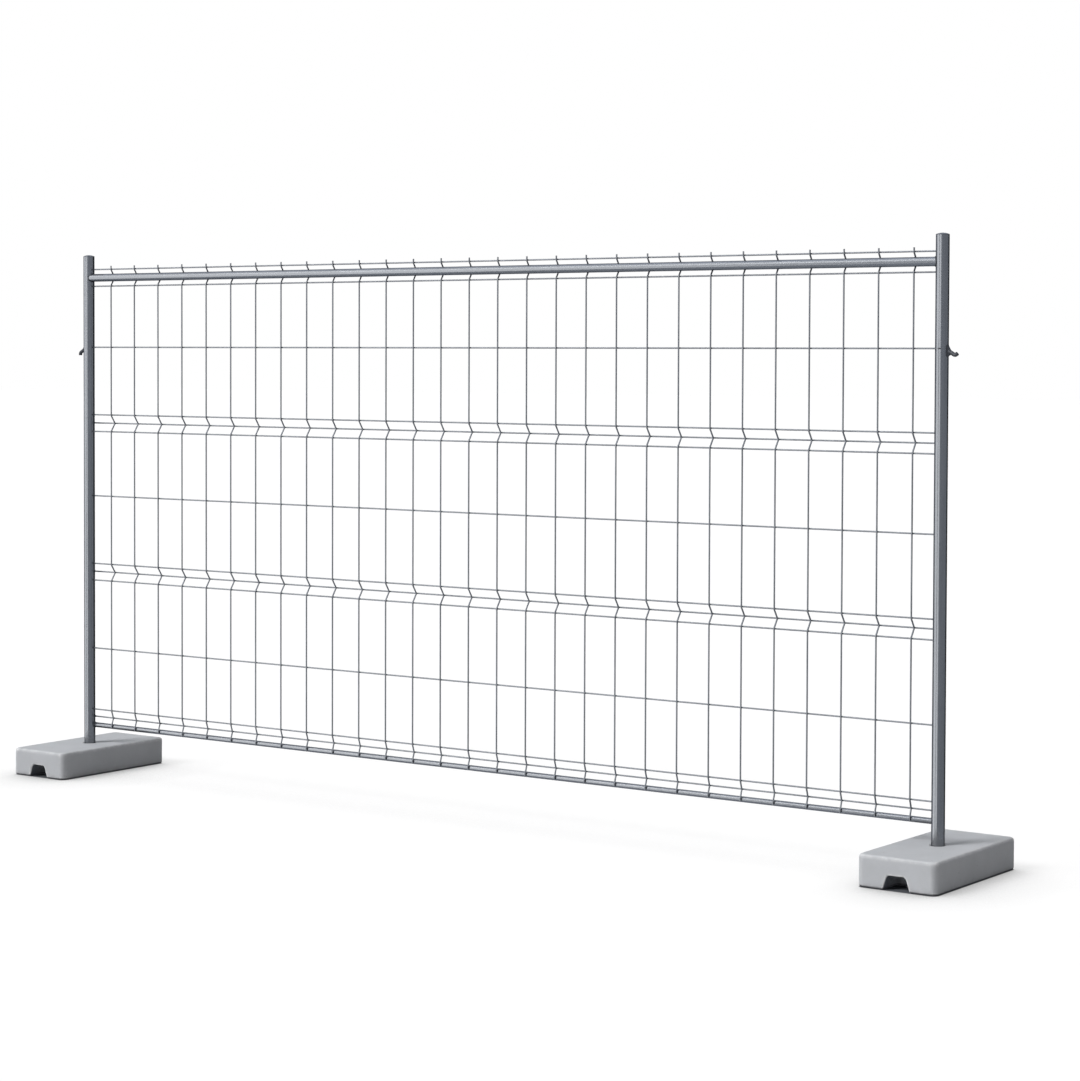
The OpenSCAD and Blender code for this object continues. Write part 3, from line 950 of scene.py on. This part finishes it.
weld_beads, given, result = nodes_tree("weld_beads", [("Pitch", FLOAT), ("Drop size", VECTOR)] + CHANCE)
tree = weld_beads
line = put(tree, "GeometryNodeMeshToCurve", {0: given["Geometry"]})
steps = put(tree, "GeometryNodeResampleCurve", {0: line.outputs[0], 3: given["Pitch"]}, mode="LENGTH")
along = put(tree, "GeometryNodeInputTangent")
turned = put(tree, "FunctionNodeAlignRotationToVector", {2: along.outputs[0]}, axis="X")
drops = uneven_drops(tree, given, steps.outputs[0], given["Drop size"], turned.outputs[0])
end_tree(tree, drops, given, result)

bead_points, bead_edges = [], []
for axis, radius in rails.values():
    for sign in (-1, 1):
        first = len(bead_points)
        for k in range(BEAD_POINTS):
            turn = 2 * math.pi * k / BEAD_POINTS
            y = axis.y + radius * math.sin(turn)
            bead_points.append((sign * saddle_x(y), y, axis.z + radius * math.cos(turn)))
        bead_edges += chain(BEAD_POINTS, first) + [(first + BEAD_POINTS - 1, first)]
tube_welds = new_piece("tube_welds", bead_points, bead_edges)
add_tree(tube_welds, weld_beads, {
    "Pitch": 2.6 * MM, "Drop size": (2.2 * MM, 2.4 * MM, 2.4 * MM), "Unevenness": 0.12, "Seed": 3,
    "Material": weld_and_hook_shade_zinc,
})
finish_weld(make_plain(tube_welds))

# %% [markdown]
# A thin wire needs no bead: where its end meets the post, one drop of weld holds it.

# %% Welds at the wires' ends
wire_ends = []
for name, axis in long_axes.items():
    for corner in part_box(name):
        wire_ends.append((corner.x, axis.y, axis.z))
end_welds = new_piece("end_welds", wire_ends)
add_tree(end_welds, weld_spots, {
    "Spot size": (2.6 * MM, 3.6 * MM, 3.6 * MM), "Unevenness": 0.15, "Seed": 11, "Material": weld_and_hook_shade_zinc,
})
finish_weld(make_plain(end_welds))

# %% [markdown]
# A hook carries the next panel, so its root sits in a thick weld: a collar that leans from the post's
# side onto the bar, long above and below it and short at its sides. It is drawn between the two lines
# of contact, with a slight hollow in its slope and small ripples from the torch, and closed inside the
# metal.

# %% Welds at the hooks
COLLAR_LEG = 11 * MM
COLLAR_SIDE = 4 * MM
COLLAR_ROWS = 7
COLLAR_INNER = 0.7
COLLAR_SUNK = 2 * MM
COLLAR_CREASE = 50
HOLLOW = 0.25
RIPPLES = 14
RIPPLE_SHARE = 0.06


def bar_on_post(side, radius, turn):
    """Point where a round bar along the hook's slope meets the post, at one place round the bar."""
    sign = HOOKS[side][0]
    axis_x, post_r = post_axes[side]
    root = hook_line(side)[0]
    y = radius * math.sin(turn)
    u = abs(root[0] - axis_x) + radius * math.cos(turn) * math.sin(HOOK_SLOPE)
    z = root[2] + radius * math.cos(turn) * math.cos(HOOK_SLOPE)
    out = math.sqrt(post_r ** 2 - y * y)
    return Vector((axis_x + sign * out, y, z - (out - u) * math.tan(HOOK_SLOPE)))


def hook_collar(side):
    sign = HOOKS[side][0]
    along = Vector((sign * math.cos(HOOK_SLOPE), 0, -math.sin(HOOK_SLOPE)))
    points, faces = [], []
    for k in range(BEAD_POINTS):
        turn = 2 * math.pi * k / BEAD_POINTS
        leg = COLLAR_SIDE + (COLLAR_LEG - COLLAR_SIDE) * math.cos(turn) ** 2
        leg *= 1 + RIPPLE_SHARE * math.sin(RIPPLES * turn)
        on_post = bar_on_post(side, HOOK_R + leg, turn)
        corner = bar_on_post(side, HOOK_R, turn)
        on_bar = corner + along * leg
        waist = corner * HOLLOW + (on_post + on_bar) * (1 - HOLLOW) / 2
        for row in range(COLLAR_ROWS):
            s = row / (COLLAR_ROWS - 1)
            points.append(on_post * (1 - s) ** 2 + waist * 2 * s * (1 - s) + on_bar * s * s)
        points.append(bar_on_post(side, HOOK_R * COLLAR_INNER, turn) - along * COLLAR_SUNK)
    size = COLLAR_ROWS + 1
    for k in range(BEAD_POINTS):
        a, b = k * size, (k + 1) % BEAD_POINTS * size
        for row in range(size):
            after = (row + 1) % size
            faces.append((a + row, b + row, b + after, a + after))
    return new_piece(side + "_hook_weld", points, faces=faces)


for side in ("left", "right"):
    collar = close_up(hook_collar(side))
    collar.data.materials.append(weld_and_hook_shade_zinc)
    finish_weld(collar, COLLAR_CREASE)

# %% [markdown]
# The right post has one small weld scar on its front, level with the upper single wire. It is one
# flat drop, so the tree of the crossings makes it, with a longer and flatter spot.

# %% Weld scar
SCAR_AZIMUTH = math.radians(-86)

axis_x, post_r = post_axes["right"]
scar_spot = (axis_x + post_r * math.cos(SCAR_AZIMUTH), post_r * math.sin(SCAR_AZIMUTH),
             long_axes["upper_single_wire"].z)
scar = new_piece("weld_scar", [scar_spot])
add_tree(scar, weld_spots, {
    "Spot size": (6 * MM, 1.2 * MM, 2.2 * MM), "Unevenness": 0.0, "Seed": 5, "Material": weld_and_hook_shade_zinc,
})
finish_weld(make_plain(scar))

# %% [markdown]
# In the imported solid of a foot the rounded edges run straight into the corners. A bevel on a mesh with
# a socket and two holds would be hard to steer, so a tree carries the edges round each corner by the
# distance of every point from the block's outline: it lowers what stands over the rounded upper edge
# and lifts what hangs under the lower one.

# %% Rounded corners of the feet


def rounded_off(tree, radius, inside):
    short = math_node(tree, "POWER", excess(tree, radius, inside), 2.0)
    left = excess(tree, math_node(tree, "POWER", radius, 2.0), short)
    return math_node(tree, "SUBTRACT", radius, math_node(tree, "SQRT", left))


round_corners, given, result = nodes_tree("round_corners", [
    ("Centre", VECTOR), ("Half size", VECTOR), ("Corner", FLOAT),
    ("Upper edge", FLOAT), ("Lower edge", FLOAT),
])
tree = round_corners
spot = put(tree, "GeometryNodeInputPosition").outputs[0]
offset = vector_node(tree, "ABSOLUTE", vector_node(tree, "SUBTRACT", spot, given["Centre"]))
inset = parts_of(tree, vector_node(tree, "SUBTRACT", given["Half size"], offset))
near_x = excess(tree, given["Corner"], inset["X"])
near_y = excess(tree, given["Corner"], inset["Y"])
inside = excess(tree, given["Corner"], distance(tree, near_x, near_y))
crown = parts_of(tree, vector_node(tree, "ADD", given["Centre"], given["Half size"]))["Z"]
part = parts_of(tree, spot)
most = math_node(tree, "SUBTRACT", crown, rounded_off(tree, given["Upper edge"], inside))
least = rounded_off(tree, given["Lower edge"], inside)
height = math_node(tree, "MAXIMUM", math_node(tree, "MINIMUM", part["Z"], most), least)
place = put(tree, "ShaderNodeCombineXYZ", {0: part["X"], 1: part["Y"], 2: height}).outputs[0]
moved = put(tree, "GeometryNodeSetPosition", {0: given["Geometry"], 2: place})
end_tree(tree, moved.outputs[0], given, result)

# %% [markdown]
# A second tree works the skin: shallow waves from the mould, chipped edges, and an attribute that marks
# where an edge is worn and takes a painted highlight. Edges are found by blurring the points' places:
# where a point stands out from its blurred place, the surface is bent. All of it goes inwards, so a foot
# never outgrows its solid.

# %% Skin of the feet
BLUR_STEPS = 6
EDGE_STARTS = 0.2 * MM
CHIPPED = (0.56, 0.72)

cast_skin, given, result = nodes_tree("cast_skin", [
    ("Wave depth", FLOAT), ("Grain depth", FLOAT), ("Chip depth", FLOAT), ("Edge reach", FLOAT),
])
tree = cast_skin
spot = put(tree, "GeometryNodeInputPosition").outputs[0]
outward = put(tree, "GeometryNodeInputNormal").outputs[0]
blurred = put(tree, "GeometryNodeBlurAttribute", {0: spot, 1: BLUR_STEPS}, data_type="FLOAT_VECTOR")
bulge = vector_node(tree, "DOT_PRODUCT", vector_node(tree, "SUBTRACT", spot, blurred.outputs[0]), outward)
edge = put(tree, "ShaderNodeMapRange", {0: bulge, 1: EDGE_STARTS, 2: given["Edge reach"]}).outputs[0]
wave = noise(tree, spot, scale=7.0, detail=2.0)
grain = noise(tree, spot, scale=110.0, detail=2.0)
break_up = noise(tree, spot, scale=42.0, detail=3.0)
chip = math_node(tree, "MULTIPLY", ramp(tree, break_up, *CHIPPED), edge)
depth = math_node(tree, "MULTIPLY", wave, given["Wave depth"])
depth = math_node(tree, "ADD", depth, math_node(tree, "MULTIPLY", grain, given["Grain depth"]))
depth = math_node(tree, "ADD", depth, math_node(tree, "MULTIPLY", chip, given["Chip depth"]))
inwards = scaled(tree, outward, math_node(tree, "MULTIPLY", depth, -1.0))
# marks the edges for wear and for a painted highlight
marked = put(tree, "GeometryNodeStoreNamedAttribute",
             {0: given["Geometry"], 2: "worn_and_highlit_edge", 3: edge}, data_type="FLOAT", domain="POINT")
moved = put(tree, "GeometryNodeSetPosition", {0: marked.outputs[0], 3: inwards})
end_tree(tree, moved.outputs[0], given, result)

# %% [markdown]
# The feet are cast concrete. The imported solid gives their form, and a voxel remesh covers it with an
# even skin, once before the corners are rounded and once more after it, so that the last tree has
# points of one size to work on.

# %% Concrete feet
SKIN_STEP = 3 * MM
FOOT_CORNER = 22 * MM
FOOT_EDGE = 10 * MM
FOOT_BASE_EDGE = 7 * MM


def even_skin(piece):
    skin = piece.modifiers.new("even_skin", "REMESH")
    skin.mode = "VOXEL"
    skin.voxel_size = SKIN_STEP


for side in ("left", "right"):
    node = side + "_foot"
    mesh = bpy.data.meshes.new(node + "_cast")
    shape = bmesh.new()
    shape.from_mesh(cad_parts[node].data)
    bmesh.ops.remove_doubles(shape, verts=shape.verts, dist=MERGE)
    shape.to_mesh(mesh)
    shape.free()
    foot = bpy.data.objects.new(node + "_cast", mesh)
    scene.collection.objects.link(foot)
    low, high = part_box(node)
    even_skin(foot)
    add_tree(foot, round_corners, {
        "Centre": (low + high) / 2, "Half size": (high - low) / 2, "Corner": FOOT_CORNER,
        "Upper edge": FOOT_EDGE, "Lower edge": FOOT_BASE_EDGE, "Material": concrete,
    })
    even_skin(foot)
    add_tree(foot, cast_skin, {
        "Wave depth": 1.0 * MM, "Grain depth": 0.25 * MM, "Chip depth": 2.2 * MM, "Edge reach": 1.3 * MM,
        "Material": concrete,
    })
    make_plain(foot)
    foot.data.polygons.foreach_set("use_smooth", [True] * len(foot.data.polygons))
    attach(foot, node + "_block")
    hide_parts(node)
    print(foot.name, triangles(foot), "triangles")
